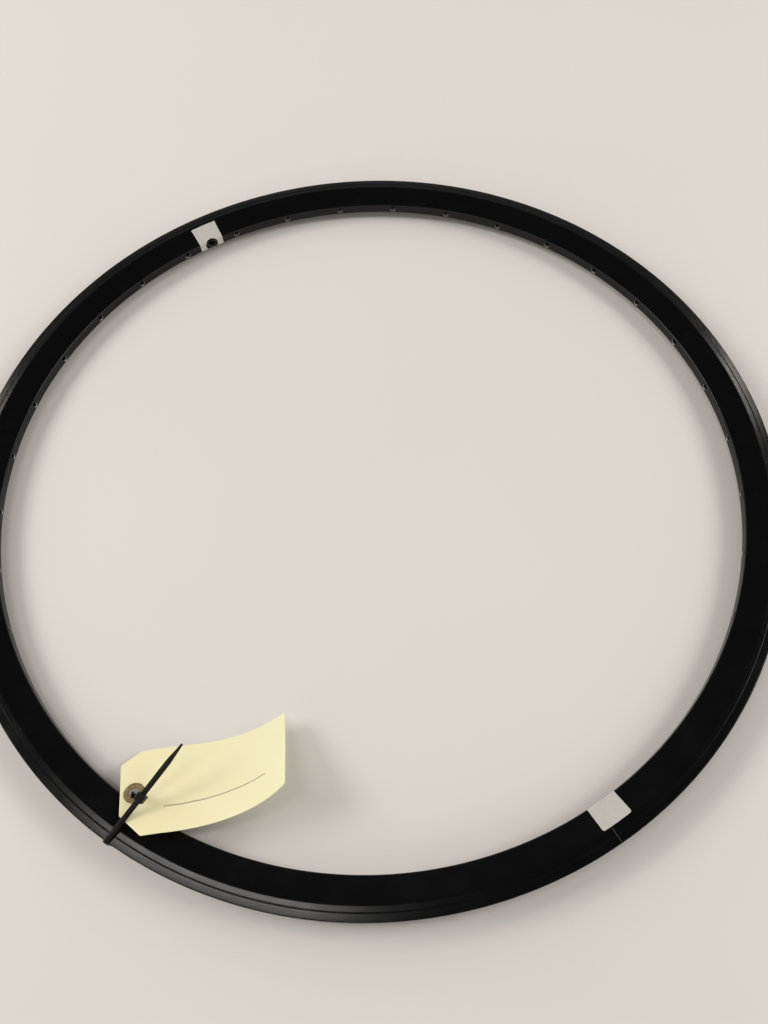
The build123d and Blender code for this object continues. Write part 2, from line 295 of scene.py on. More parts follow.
def resampled(route, count):
    """Points of a route at equal steps of its length, with its own corners kept as the nearest samples."""
    distance = stations(route)
    even = np.linspace(0.0, distance[-1], count)
    corners = np.round(distance / distance[-1] * (count - 1)).astype(int)
    even[corners] = distance
    return np.stack([np.interp(even, distance, route[:, axis]) for axis in range(route.shape[1])], axis=-1)


def about_axis(radial, tangential, height, azimuth):
    """Points given along a radius, square to it and above the rim's mid-plane, turned to an azimuth."""
    cosine, sine = np.cos(azimuth), np.sin(azimuth)
    x = radial * cosine - tangential * sine
    y = radial * sine + tangential * cosine
    return np.stack(np.broadcast_arrays(x, y, height + MID_HEIGHT), axis=-1)


def turned(section, azimuths):
    """Surface of revolution: each section point (radius, height) goes round the wheel axis."""
    return about_axis(section[None, :, 0], 0.0, section[None, :, 1], azimuths[:, None])


def fan(inner, outer, steps):
    """Flat surface between two outlines of as many points: (1 - s) inner + s outer for s from 0 to 1."""
    share = np.linspace(0.0, 1.0, steps + 1)[:, None, None]
    return inner[None] * (1.0 - share) + outer[None] * share


class Shell:
    """Grids of points that become one closed mesh, each with its finish and its flat coordinates."""

    def __init__(self):
        self.points, self.quads, self.finishes, self.flat = [], [], [], []
        self.count = 0

    def grid(self, points, flat=None, finish=0, wrap_rows=False, wrap_columns=False):
        """Adds the quads of a grid of points, closed on itself along rows or columns where asked."""
        rows, columns = points.shape[:2]
        index = np.arange(rows * columns).reshape(rows, columns) + self.count
        if wrap_rows:
            index = np.concatenate([index, index[:1]], axis=0)
        if wrap_columns:
            index = np.concatenate([index, index[:, :1]], axis=1)
        corners = (index[:-1, :-1], index[1:, :-1], index[1:, 1:], index[:-1, 1:])
        quads = np.stack(corners, axis=-1).reshape(-1, 4)
        flat = np.zeros((rows, columns, 2)) if flat is None else np.broadcast_to(flat, (rows, columns, 2))
        self.points.append(points.reshape(-1, 3))
        self.flat.append(flat.reshape(-1, 2))
        self.quads.append(quads)
        self.finishes.append(np.full(len(quads), finish))
        self.count += rows * columns

    def slab(self, low, high, flat=None, finish=0, wrap_columns=False):
        """Adds a sheet with thickness: both faces, and walls round its borders."""
        self.grid(high, flat, finish, wrap_columns=wrap_columns)
        self.grid(low, flat, finish, wrap_columns=wrap_columns)
        for edge in (0, -1):
            border = None if flat is None else np.stack([flat[edge], flat[edge]])
            self.grid(np.stack([low[edge], high[edge]]), border, finish, wrap_columns=wrap_columns)
            if not wrap_columns:
                border = None if flat is None else np.stack([flat[:, edge], flat[:, edge]])
                self.grid(np.stack([low[:, edge], high[:, edge]]), border, finish)

    def to_object(self, name, cap_edges=(), flats_lead=False):
        """Makes the mesh: doubles merged, open ends filled, faces turned outwards, sharp edges kept.

        Where flats lead, the normals at the edge of a flat follow the flat and not the round beside it."""
        mesh = bpy.data.meshes.new(name)
        quads = np.concatenate(self.quads)
        mesh.from_pydata(np.concatenate(self.points).tolist(), [], quads.tolist())
        layer = mesh.uv_layers.new(name="flat")
        layer.data.foreach_set("uv", np.concatenate(self.flat)[quads.ravel()].ravel())
        mesh.polygons.foreach_set("material_index", np.concatenate(self.finishes))
        work = bmesh.new()
        work.from_mesh(mesh)
        bmesh.ops.remove_doubles(work, verts=work.verts, dist=MERGE_DISTANCE)
        bmesh.ops.dissolve_degenerate(work, edges=work.edges, dist=SLIVER)
        for chosen in cap_edges:
            open_edges = [edge for edge in work.edges if edge.is_boundary and chosen(edge.verts[0].co)]
            bmesh.ops.triangle_fill(work, use_beauty=True, edges=open_edges)
        bmesh.ops.recalc_face_normals(work, faces=work.faces)
        work.to_mesh(mesh)
        work.free()
        mesh.shade_smooth()
        mesh.set_sharp_from_angle(angle=SHARP_ANGLE)
        piece = bpy.data.objects.new(name, mesh)
        bpy.context.scene.collection.objects.link(piece)
        if flats_lead:
            leading = piece.modifiers.new("flats_lead", "WEIGHTED_NORMAL")
            leading.mode = "FACE_AREA"
            leading.keep_sharp = True
        return piece


def finished(piece, materials, slot, *nodes):
    """Gives a piece its materials, and its place on the frame."""
    for material in materials:
        piece.data.materials.append(material)
    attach(piece, BODY)
    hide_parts(*nodes)
    return piece


# Rim section and its holes

SPOKES = 36
SEAM_REACH = 1.0 * MM
FIRST_HOLE_POINT = math.radians(-120.0)

# Finishes of the rim, in the order of its materials
BLACK, CUT, DRILLED = range(3)


def slope_of(rim):
    """Angle of the sloping side against a radius."""
    return math.atan2((rim.width - rim.spoke_bed_width) / 2, rim.depth - rim.track_height)


def slope_height(rim, radius, inwards=0.0):
    """Height of the upper slope above the mid-plane, or of a face that far inside it."""
    rise = (radius - rim.outer_radius + rim.depth) * math.tan(slope_of(rim))
    return rim.spoke_bed_width / 2 + rise - inwards / math.cos(slope_of(rim))


def outer_section(rim):
    """Upper half of the rim section from the spoke bed over the track and the hook to the well floor.

    The points are (radius, height) corners, rounded by tangent arcs, without the flat of bed and well."""
    outer, half = rim.outer_radius, rim.width / 2
    bed, seat = outer - rim.depth, outer - rim.flange_height
    well, inside = seat - rim.well_depth, half - rim.flange_wall
    hook, under_hook = rim.hook_gap / 2, outer - rim.hook_height
    groove, bottom = outer - rim.groove_inset, half - rim.groove_depth
    groove_low, groove_high = groove - rim.groove_width / 2, groove + rim.groove_width / 2
    points = [
        (bed, 0.0), (bed, rim.spoke_bed_width / 2), (outer - rim.track_height, half),
        (groove_low, half), (groove_low, bottom), (groove_high, bottom), (groove_high, half),
        (outer, half), (outer, hook), (under_hook, hook), (under_hook - inside + hook, inside),
        (seat, inside), (seat, inside - rim.seat_shelf), (well, rim.well_floor / 2), (well, 0.0),
    ]
    groove_rounds = [rim.groove_lip, rim.groove_round, rim.groove_round, rim.groove_lip]
    radii = [rim.bed_round, rim.track_round, *groove_rounds, rim.edge_round] + [rim.hook_round] * 6
    return rounded_route(points, radii)[1:-1]


def chamber_section(rim):
    """Upper half of the hollow, each wall lying its own thickness inside the outer section."""
    bed, seat = rim.outer_radius - rim.depth, rim.outer_radius - rim.flange_height
    floor, ceiling = bed + rim.spoke_bed_wall, seat - rim.tyre_bed_wall
    inside = rim.width / 2 - rim.flange_wall
    slope = slope_of(rim)
    rise = inside - rim.spoke_bed_width / 2 + rim.side_wall / math.cos(slope)
    shelf_end = inside - rim.seat_shelf
    well_turn = math.atan2(rim.well_depth, shelf_end - rim.well_floor / 2)
    step = rim.tyre_bed_wall * math.tan(well_turn / 2)
    points = [
        (floor, 0.0), (floor, slope_height(rim, floor, rim.side_wall)),
        (bed + rise / math.tan(slope), inside), (ceiling, inside), (ceiling, shelf_end + step),
        (ceiling - rim.well_depth, rim.well_floor / 2 + step), (ceiling - rim.well_depth, 0.0),
    ]
    return rounded_route(points, [rim.chamber_round] * 5, HIDDEN_ARC)[1:-1]


def closed_section(section):
    """Whole outline from its upper half, with the rows of the flat strips between the halves."""
    rows = np.linspace(1.0, -1.0, STRIP_ROWS + 1)[1:-1, None]
    last = np.concatenate([np.full_like(rows, section[-1, 0]), rows * section[-1, 1]], axis=1)
    first = np.concatenate([np.full_like(rows, section[0, 0]), -rows * section[0, 1]], axis=1)
    return np.concatenate([section, last, (section * (1.0, -1.0))[::-1], first])


def rectangle_loop(half_along, half_across):
    """Points round a rectangle, in the order and number of a hole's circle."""
    along = np.linspace(-half_along, half_along, 2 * HOLE_STEPS + 1)[:-1]
    across = np.linspace(-half_across, half_across, STRIP_ROWS + 1)[:-1]
    side, end = np.full(len(across), half_along), np.full(len(along), half_across)
    return np.concatenate([along, side, -along, -side]), np.concatenate([-end, across, end, -across])


def circle_loop(radius):
    """Points round a hole, in equal steps that start beside the rectangle's first corner."""
    turn = FIRST_HOLE_POINT + np.arange(HOLE_POINTS) * 2.0 * math.pi / HOLE_POINTS
    return radius * np.cos(turn), radius * np.sin(turn)


def pierced_strip(shell, radius, half, holes, azimuths):
    """Cylinder strip between two section points, with a round hole at some azimuth steps.

    Beside the holes it is a plain grid. Round a hole of radius h, the strip between its circle and the
    rectangle of the neighbouring grid lines is the blend (1 - s) circle + s rectangle, both taken in the
    plane square to the hole, and each point lies on the cylinder at sqrt(radius^2 - x^2)."""
    step = 2.0 * math.pi / HOOP_STEPS
    share, y_border = rectangle_loop(1.0, half)
    border = np.stack([radius * np.sin(share * HOLE_STEPS * step), y_border], axis=-1)
    covered = np.zeros(HOOP_STEPS, bool)
    for index, hole in holes:
        covered[index - HOLE_STEPS:index + HOLE_STEPS] = True
        patch = fan(np.stack(circle_loop(hole), axis=-1), border, HOLE_RINGS)
        x, y = patch[..., 0], patch[..., 1]
        points = about_axis(np.sqrt(radius ** 2 - x ** 2), x, y, azimuths[index])
        along = radius * (azimuths[index] + np.arcsin(x / radius))
        shell.grid(points, np.stack([along, radius + y], axis=-1), wrap_columns=True)
    rows = np.linspace(-half, half, STRIP_ROWS + 1)
    section = np.stack([np.full(len(rows), radius), rows], axis=-1)
    edges = np.flatnonzero(np.diff(np.concatenate([[True], covered, [True]]).astype(int)))
    for first, last in zip(edges[::2], edges[1::2]):
        run = azimuths[first:last + 1]
        along, across = np.meshgrid(radius * run, radius + rows, indexing="ij")
        shell.grid(turned(section, run), np.stack([along, across], axis=-1))


def drilled_wall(shell, azimuth, hole, chamfer, mouth, far):
    """Dull wall of a hole from its chamfered mouth to the far surface, both given as radii of the hoop."""
    inwards = chamfer if far > mouth else -chamfer
    rings = []
    for reach, surface, shift in ((hole + chamfer, mouth, 0.0), (hole, mouth, inwards), (hole, far, 0.0)):
        x, y = circle_loop(reach)
        rings.append(about_axis(np.sqrt(surface ** 2 - x ** 2) + shift, x, y, azimuth))
    shell.grid(np.stack(rings), finish=DRILLED, wrap_columns=True)


def drilled_beds(shell, rim, outer, chamber, azimuths):
    """Flat strips on both faces of the spoke bed and of the tyre bed, with the holes through each."""
    pitch = HOOP_STEPS // SPOKES
    spokes = [pitch // 2 + pitch * number for number in range(SPOKES)]
    valve = HOOP_STEPS // 2
    bed, well, floor, ceiling = outer[0], outer[-1], chamber[0], chamber[-1]
    spoke, access, stem = rim.spoke_hole / 2, rim.access_hole / 2, rim.valve_hole / 2
    stem_edge = min(rim.hole_chamfer, (bed[1] - stem) / 2)
    access_edge = min(rim.hole_chamfer, (well[1] - access) / 2)
    walls = ((bed, floor, spoke, rim.hole_chamfer), (well, ceiling, access, access_edge))
    for mouth, far, hole, edge in walls:
        for (radius, half), hole_chamfer, stem_chamfer in ((mouth, edge, stem_edge), (far, 0.0, 0.0)):
            holes = [(index, hole + hole_chamfer) for index in spokes] + [(valve, stem + stem_chamfer)]
            pierced_strip(shell, radius, half, holes, azimuths)
        for index in spokes:
            drilled_wall(shell, azimuths[index], hole, edge, mouth[0], far[0])
        drilled_wall(shell, azimuths[valve], stem, stem_edge, mouth[0], far[0])


def rim_shell(rim):
    """Whole hoop: the section turned from one side of the seam to the other, with every drilled hole.

    At the seam, each end of the hoop has a narrow strip of bare metal before the black begins."""
    outer, chamber = outer_section(rim), chamber_section(rim)
    seam = rim.valve_azimuth - math.pi
    azimuths = seam + np.linspace(0.0, 2.0 * math.pi, HOOP_STEPS + 1)
    middle = rim.outer_radius - rim.depth / 2
    gap, bare = rim.seam_gap / 2 / middle, rim.seam_edge / middle
    ends = azimuths[[0, -1]] + (gap, -gap)
    azimuths[[0, -1]] = ends + (bare, -bare)
    shell = Shell()
    for strip in zip(ends, azimuths[[0, -1]]):
        for section in (outer, chamber):
            shell.grid(turned(closed_section(section), np.array(strip)), finish=CUT, wrap_columns=True)
    for section in (outer, chamber):
        across = stations(section)
        flat = np.stack(np.meshgrid(azimuths * rim.outer_radius, across, indexing="ij"), axis=-1)
        for side in (1.0, -1.0):
            shell.grid(turned(section * (1.0, side), azimuths), flat, finish=BLACK)
    drilled_beds(shell, rim, outer, chamber, azimuths)
    return shell, seam


def seam_ends(seam):
    """Tests for a point at either end of the hoop: near the seam's plane, on one side of it."""
    along = Vector((math.cos(seam), math.sin(seam), 0.0))
    across = Vector((-math.sin(seam), math.cos(seam), 0.0))
    return [lambda place, side=side: place.dot(along) > 0.0 and 0.0 < side * place.dot(across) < SEAM_REACH
            for side in (1.0, -1.0)]


# Labels

def lifted_surface(rim, lift):
    """Rim surface under a label, lifted off it: from the spoke bed over its rounded edge up the slope.

    Gives its points (radius, height), their flat distances from the mid-plane and the normals there."""
    slope = slope_of(rim)
    bed, top = rim.outer_radius - rim.depth, rim.outer_radius - rim.track_height
    fold = rim.spoke_bed_width / 2 + lift * math.tan(math.pi / 4 - slope / 2)
    end = (top - lift * math.sin(slope), slope_height(rim, top) + lift * math.cos(slope))
    corners = [(bed - lift, -rim.width / 2), (bed - lift, fold), end]
    route = rounded_route(corners, [rim.bed_round + lift], FOLD_ARC)
    reach = stations(route) - rim.width / 2
    way = np.gradient(route, reach, axis=0)
    way /= np.linalg.norm(way, axis=1, keepdims=True)
    return route, reach, np.stack([-way[:, 1], way[:, 0]], axis=-1)


def label_slab(shell, rim, label, plan, azimuth):
    """Film of a label: its flat plan (across, reach) laid on the rim, with its thickness outwards."""
    route, reach, normal = lifted_surface(rim, label.gap)
    across = plan[..., 0]
    faces = []
    for rise in (0.0, label.thickness):
        lifted = route + normal * rise
        radius = np.interp(plan[..., 1], reach, lifted[:, 0])
        height = np.interp(plan[..., 1], reach, lifted[:, 1])
        faces.append(about_axis(np.sqrt(radius ** 2 - across ** 2), across, height, azimuth))
    shell.slab(*faces, plan)


def valve_label_shell(rim, label):
    """Arch round the valve hole: flat blend of the cut-out's arc and the label's border, then folded."""
    route, reach, _ = lifted_surface(rim, label.gap)
    bed, top = rim.outer_radius - rim.depth, rim.outer_radius - rim.track_height - label.edge_margin
    half_sine = math.sin(label.valve_width / bed / 2)
    low, fold = label.bed_margin - rim.spoke_bed_width / 2, rim.spoke_bed_width / 2
    high = float(np.interp(top, route[-2:, 0], reach[-2:]))
    wide, narrow = top * half_sine, bed * half_sine
    corners = [(narrow, low), (narrow, fold), (wide, high), (-wide, high), (-narrow, fold), (-narrow, low)]
    rounds = [0.0, label.valve_corner, label.valve_corner, 0.0]
    border = resampled(rounded_route(corners, rounds, LABEL_ARC), VALVE_LABEL_POINTS)
    foot = math.asin(low / (label.cutout / 2))
    turn = np.linspace(foot, math.pi - foot, VALVE_LABEL_POINTS)
    arc = label.cutout / 2 * np.stack([np.cos(turn), np.sin(turn)], axis=-1)
    shell = Shell()
    label_slab(shell, rim, label, fan(arc, border, VALVE_LABEL_RINGS), rim.valve_azimuth)
    return shell


def seam_label_shell(rim, label):
    """Label on the slope, folded just over the spoke bed's edge: rows at each reach, columns across.

    The half width is the radius times the sine of half the label's angle. Past the start of the outer
    corners of radius c it loses c - sqrt(c^2 - d^2), with d the distance past that start."""
    route, reach, _ = lifted_surface(rim, label.gap)
    top = rim.outer_radius - rim.track_height - label.edge_margin
    middle = rim.outer_radius - (rim.depth + rim.track_height) / 2
    low = rim.spoke_bed_width / 2 - label.seam_fold
    high = float(np.interp(top, route[-2:, 0], reach[-2:]))
    corner = label.seam_corner
    fold = reach[(reach > low) & (reach < high)]
    slope = np.linspace(fold[-1], high - corner, SEAM_LABEL_ROWS)
    turn = np.linspace(0.0, math.pi / 2, SEAM_LABEL_CORNER_ROWS)
    rounding = high - corner + corner * np.sin(turn)
    rows = np.concatenate([[low], fold, slope[1:], rounding[1:]])
    past = np.clip(rows - high + corner, 0.0, corner)
    half = np.interp(rows, reach, route[:, 0]) * math.sin(label.seam_width / middle / 2)
    half = half - corner + np.sqrt(corner ** 2 - past ** 2)
    share = np.linspace(-1.0, 1.0, SEAM_LABEL_COLUMNS)
    plan = np.stack(np.broadcast_arrays(half[:, None] * share, rows[:, None]), axis=-1)
    shell = Shell()
    label_slab(shell, rim, label, plan, rim.valve_azimuth + math.pi + label.seam_offset / middle)
    return shell


# Tag

def beside_tie(tie, radius, side, height):
    """Point given by its radius at the tie, its distance along the rim and its height."""
    turn = tie.azimuth
    return np.array([radius * math.cos(turn) - side * math.sin(turn),
                     radius * math.sin(turn) + side * math.cos(turn), height])


def tag_hole_place(rim, tag, tie):
    """Middle of the tag's hole on the card's underside."""
    bed = rim.outer_radius - rim.depth
    return beside_tie(tie, bed - tag.hole_inset, tag.hole_side, RIM_HIGH.z - tag.hole_drop)


def bent_card(tag, along, across, lift):
    """Card bent along two tangent arcs before it is placed.

    With q the distance square to the bend lines, the card turns down by q / drop_radius as far as
    drop_length, and from there up again by (q - drop_length) / curl_radius. A lift moves a point along the
    card's normal."""
    turn = tag.crease_angle
    crease = np.array([math.cos(turn), math.sin(turn)])
    way = np.array([math.sin(turn), -math.cos(turn)])
    stay = along * crease[0] + across * crease[1]
    distance = along * way[0] + across * way[1]
    down = -np.minimum(distance, tag.drop_length) / tag.drop_radius
    end = down + np.maximum(distance - tag.drop_length, 0.0) / tag.curl_radius
    run = -tag.drop_radius * np.sin(down) + tag.curl_radius * (np.sin(end) - np.sin(down))
    rise = -tag.drop_radius * (1.0 - np.cos(down)) + tag.curl_radius * (np.cos(down) - np.cos(end))
    run = run - lift * np.sin(end)
    rise = rise + lift * np.cos(end)
    return np.stack([stay * crease[0] + run * way[0], stay * crease[1] + run * way[1], rise], axis=-1)


def tag_points(rim, tag, tie, along, across, lift):
    """Points of the placed card: bent, rolled, pitched, turned to its heading and moved to its hole."""
    hole = bent_card(tag, np.array(tag.hole_from_end), np.array(tag.hole_off_centre), 0.0)
    turn = (Matrix.Rotation(tag.heading, 3, "Z") @ Matrix.Rotation(-tag.pitch, 3, "Y")
            @ Matrix.Rotation(tag.roll, 3, "X"))
    points = bent_card(tag, along, across, lift) - hole
    return points @ np.array(turn).T + tag_hole_place(rim, tag, tie)


def tag_shell(rim, tag, tie):
    """Card between its punched hole and its outline: blend of the hole's circle and the border."""
    half = tag.card_width / 2
    outline = [
        (tag.card_length, 0.0), (tag.card_length, half), (tag.inner_clip_length, half),
        (0.0, half - tag.inner_clip_width), (0.0, tag.outer_clip_width - half),
        (tag.outer_clip_length, -half), (tag.card_length, -half), (tag.card_length, 0.0),
    ]
    border = resampled(rounded_route(outline, [tag.corner] * 6), TAG_POINTS)[:-1]
    middle = np.array([tag.hole_from_end, tag.hole_off_centre])
    ray = border - middle
    circle = middle + ray / np.linalg.norm(ray, axis=1, keepdims=True) * tag.hole / 2
    plan = fan(circle, border, TAG_RINGS)
    along, across = plan[..., 0], plan[..., 1]
    flat = np.stack([along, across], axis=-1) / tag.card_length
    shell = Shell()
    low = tag_points(rim, tag, tie, along, across, 0.0)
    high = tag_points(rim, tag, tie, along, across, tag.thickness)
    shell.slab(low, high, flat, wrap_columns=True)
    return shell


def patch_shell(rim, tag, tie):
    """Fibre ring on the card: a rounded section (distance from the hole, lift) carried round the hole."""
    hole, edge = tag.hole / 2, tag.patch_diameter / 2
    base, top = tag.thickness, tag.thickness + tag.patch_thickness
    corners = [(hole, base), (hole, top), (edge, top), (edge, base)]
    section = rounded_route(corners, [tag.patch_round] * 2, SMALL_ARC)
    turn = np.linspace(0.0, 2.0 * math.pi, PATCH_POINTS)[:-1]
    along = tag.hole_from_end + section[:, None, 0] * np.cos(turn)
    across = tag.hole_off_centre + section[:, None, 0] * np.sin(turn)
    lift = np.broadcast_to(section[:, None, 1], along.shape)
    flat = np.stack([along, across], axis=-1) / tag.card_length
    shell = Shell()
    shell.grid(tag_points(rim, tag, tie, along, across, lift), flat, wrap_rows=True, wrap_columns=True)
    return shell


# Cable tie

# Share of the strap's width that has teeth
TOOTHED_SHARE = 0.84

# How far the middle of the head's round lies in from both faces, as a share of the round
ROUND_MIDDLE = 0.3


def tie_route(rim, tag, tie):
    """Middle line of the strap: from the head through the tag's hole, round the rim and on to the tip."""
    stand_off = tie.clearance + tie.strap_thickness / 2
    edge_off = rim.bed_round / 2 + tie.clearance
    bed, outer = rim.outer_radius - rim.depth, rim.outer_radius + stand_off
    bottom, top = tie.strap_thickness / 2, RIM_HIGH.z + stand_off
    head = beside_tie(tie, bed - tie.head_inset, tie.head_side, RIM_HIGH.z + tie.head_rise)
    hole = tag_hole_place(rim, tag, tie)
    hole[2] += tag.thickness + tag.patch_thickness
    below = MID_HEIGHT - rim.spoke_bed_width / 2 - edge_off
    outer_high = beside_tie(tie, outer, 0.0, top)
    tail_way = (head - outer_high) / np.linalg.norm(head - outer_high)
    root_way = (hole - head) / np.linalg.norm(hole - head)
    track_side = tie.bed_side * rim.track_height / rim.depth
    points = [
        head + root_way * tie.root_start,
        hole,
        beside_tie(tie, bed - edge_off, tie.bed_side, below),
        beside_tie(tie, rim.outer_radius - rim.track_height, track_side, bottom),
        beside_tie(tie, outer, 0.0, bottom),
        outer_high,
        head + tail_way * tie.tail_length,
    ]
    bends = [tie.hole_bend, tie.bed_bend, tie.track_bend, 2 * stand_off, 2 * stand_off]
    return rounded_route(points, bends, BEND_ARC), head, tail_way


def across_strap(tie, way):
    """Directions across the strap's width and through its thickness, for directions along it."""
    beside = np.array([-math.sin(tie.azimuth), math.cos(tie.azimuth), 0.0])
    beside = beside - way * (way @ beside)[..., None]
    beside = beside / np.linalg.norm(beside, axis=-1, keepdims=True)
    return beside, np.cross(way, beside)


def rounded_rectangle(width, height, corner, steps=SMALL_ARC):
    """Closed outline of a rectangle with rounded corners, starting in the middle of one side."""
    half, tall = width / 2, height / 2
    corners = [(0.0, -tall), (half, -tall), (half, tall), (-half, tall), (-half, -tall), (0.0, -tall)]
    return rounded_route(corners, [corner] * 4, steps)[:-1]


def even_rectangle(width, height, corner, steps=SMALL_ARC):
    """Rounded rectangle at equal steps, so that the points of a small and a large one pair up."""
    outline = rounded_rectangle(width, height, corner, steps)
    return resampled(np.concatenate([outline, outline[:1]]), HEAD_POINTS)[:-1]


def strap_shell(shell, route, tie):
    """Strap: a rounded rectangle carried along the route and narrowed to the tip, with saw teeth inside.

    A tooth takes away depth * (1 - phase) from the face that looks into the loop, where phase runs from 0
    to 1 over each pitch."""
    distance = stations(route)
    total = distance[-1]
    even = np.arange(0.0, total, tie.tooth_pitch / TOOTH_STEPS)
    places = np.unique(np.concatenate([even, distance]))
    line = np.stack([np.interp(places, distance, route[:, axis]) for axis in range(3)], axis=-1)
    way = np.gradient(line, places, axis=0)
    way /= np.linalg.norm(way, axis=1, keepdims=True)
    beside, through = across_strap(tie, way)
    narrow = np.clip((total - places) / tie.tail_taper, 0.0, 1.0)
    narrow = (tie.tip_width + (tie.strap_width - tie.tip_width) * narrow) / tie.strap_width
    outline = rounded_rectangle(tie.strap_width, tie.strap_thickness, tie.strap_round)
    phase = (places / tie.tooth_pitch) % 1.0
    toothed = (places > tie.teeth_start) & (places < total - tie.tail_taper)
    depth = np.where(toothed, tie.tooth_depth * (1.0 - phase), 0.0)
    inner = (outline[:, 1] > 0.0) & (np.abs(outline[:, 0]) < tie.strap_width * TOOTHED_SHARE / 2)
    thick = outline[None, :, 1] - depth[:, None] * inner[None, :]
    wide = outline[None, :, 0] * narrow[:, None]
    points = line[:, None] + wide[..., None] * beside[:, None] + thick[..., None] * through[:, None]
    shell.grid(points, wrap_columns=True)
    for end in (0, -1):
        middle = np.broadcast_to(line[end], points[end].shape)
        shell.grid(np.stack([points[end], middle]), wrap_columns=True)


def head_shell(shell, head, way, tie):
    """Head: rings of points through the slot and back over the outside of a rounded block.

    A ring is an outline square to the strap at a place along it. Over the block's rounded edge, the outline
    draws in from 0 to the round as its place nears the end face."""
    beside, through = across_strap(tie, way)
    half, soft = tie.head_length / 2, tie.head_round
    slot_width = tie.strap_width + 2 * tie.slot_clearance
    slot_height = tie.strap_thickness + 2 * tie.slot_clearance
    slot = even_rectangle(slot_width, slot_height, tie.slot_round)
    rings = [(slot, -half), (slot, half)]
    shift = (0.0, tie.head_height / 2 - tie.head_above)
    edge = [(soft, 0.0), (ROUND_MIDDLE * soft, ROUND_MIDDLE * soft), (0.0, soft)]
    places = [(inset, half - depth) for inset, depth in edge]
    places += [(inset, depth - half) for inset, depth in reversed(edge)]
    for inset, place in places:
        width, height = tie.head_width - 2 * inset, tie.head_height - 2 * inset
        rings.append((even_rectangle(width, height, soft, EDGE_ARC) + shift, place))
    points = [head + outline[:, :1] * beside + outline[:, 1:] * through + way * place
              for outline, place in rings]
    shell.grid(np.stack(points), wrap_rows=True, wrap_columns=True)


# Materials

# Dark and bright parts of a noise
NOISE_SPAN = (0.3, 0.7)

# Place of the pen line on the card and the spans over which it fades, in shares of the card's length
PEN_RISE, PEN_LEVEL, PEN_WOBBLE = 0.036, -0.113, 0.006
PEN_START, PEN_END, PEN_EDGE = (0.232, 0.240), (0.832, 0.842), (0.0024, 0.0040)


class Graph:
    """Short way to add and join the nodes of one material."""

    def __init__(self, name):
        self.material = bpy.data.materials.new(name)
        self.material.use_nodes = True
        self.tree = self.material.node_tree
        self.shader = self.tree.nodes["Principled BSDF"]

    def add(self, kind, inputs=None, **settings):
        """New node with its settings; an input is a plain value or another node's output."""
        node = self.tree.nodes.new(kind)
        for key, value in settings.items():
            setattr(node, key, value)
        self.fill(node, inputs or {})
        return node

    def fill(self, node, inputs):
        """Sets or joins inputs by name or number."""
        for key, value in inputs.items():
            if isinstance(value, bpy.types.NodeSocket):
                self.tree.links.new(value, node.inputs[key])
            else:
                node.inputs[key].default_value = value

    def shade(self, **inputs):
        """Sets inputs of the surface shader, with underscores for the spaces in their names."""
        self.fill(self.shader, {key.replace("_", " "): value for key, value in inputs.items()})

    def coordinates(self, output, scale=(1.0, 1.0, 1.0)):
        """Object or UV coordinates through a mapping."""
        source = self.add("ShaderNodeTexCoord").outputs[output]
        return self.add("ShaderNodeMapping", {"Vector": source, "Scale": scale}).outputs["Vector"]

    def noise(self, vector, scale, detail=3.0, roughness=0.55):
        """Cloud of values about one half."""
        inputs = {"Vector": vector, "Scale": scale, "Detail": detail, "Roughness": roughness}
        return self.add("ShaderNodeTexNoise", inputs).outputs["Fac"]

    def span(self, value, low, high, new_low=0.0, new_high=1.0):
        """Value carried from one span to another, clamped."""
        inputs = {"Value": value, "From Min": low, "From Max": high, "To Min": new_low, "To Max": new_high}
        return self.add("ShaderNodeMapRange", inputs).outputs["Result"]

    def vary(self, noise, low, high):
        """Value that goes from low to high as a noise goes from its dark to its bright parts."""
        return self.span(noise, *NOISE_SPAN, low, high)

    def math(self, operation, first, second=0.0):
        """Arithmetic on two values."""
        return self.add("ShaderNodeMath", {0: first, 1: second}, operation=operation).outputs["Value"]

    def mix(self, share, first, second):
        """Colour between two colours."""
        node = self.add("ShaderNodeMix", data_type="RGBA")
        self.fill(node, {0: share, 6: first, 7: second})
        return node.outputs[2]

    def bump(self, height, strength, distance, normal=None):
        """Relief from a height."""
        inputs = {"Height": height, "Strength": strength, "Distance": distance}
        if normal is not None:
            inputs["Normal"] = normal
        return self.add("ShaderNodeBump", inputs).outputs["Normal"]


def opaque(rgb, gain=1.0):
    """Colour with full opacity, brightened or darkened."""
    return (rgb[0] * gain, rgb[1] * gain, rgb[2] * gain, 1.0)


def anodised_finish(finishes):
    """Satin black anodising: fine lines round the hoop, cloudy gloss and a trace of handling dust."""
    graph = Graph("anodised_black")
    lines = graph.noise(graph.coordinates("UV", (25.0, 9000.0, 1.0)), 1.0, 2.0)
    clouds = graph.noise(graph.coordinates("Object"), 45.0, 4.0)
    grit = graph.noise(graph.coordinates("Object"), 1600.0, 2.0)
    dust = graph.span(graph.math("MULTIPLY", clouds, grit), 0.30, 0.42, 0.0, 0.22)
    base = graph.mix(dust, opaque(finishes.anodised), opaque(finishes.anodised, 3.2))
    gloss = graph.math("ADD", graph.vary(clouds, 0.15, 0.20), graph.vary(lines, -0.02, 0.04))
    relief = graph.bump(grit, 0.05, 0.02 * MM, graph.bump(lines, 0.10, 0.03 * MM))
    graph.shade(Base_Color=base, Roughness=gloss, Normal=relief, IOR=1.34)
    return graph.material


def metal_finish(name, metal):
    """Cut or drilled aluminium with faint tool marks."""
    graph = Graph(name)
    marks = graph.noise(graph.coordinates("Object"), 2500.0, 2.0)
    base = graph.mix(marks, opaque(metal, 0.8), opaque(metal))
    graph.shade(Base_Color=base, Roughness=graph.vary(marks, 0.34, 0.50), Metallic=1.0)
    return graph.material


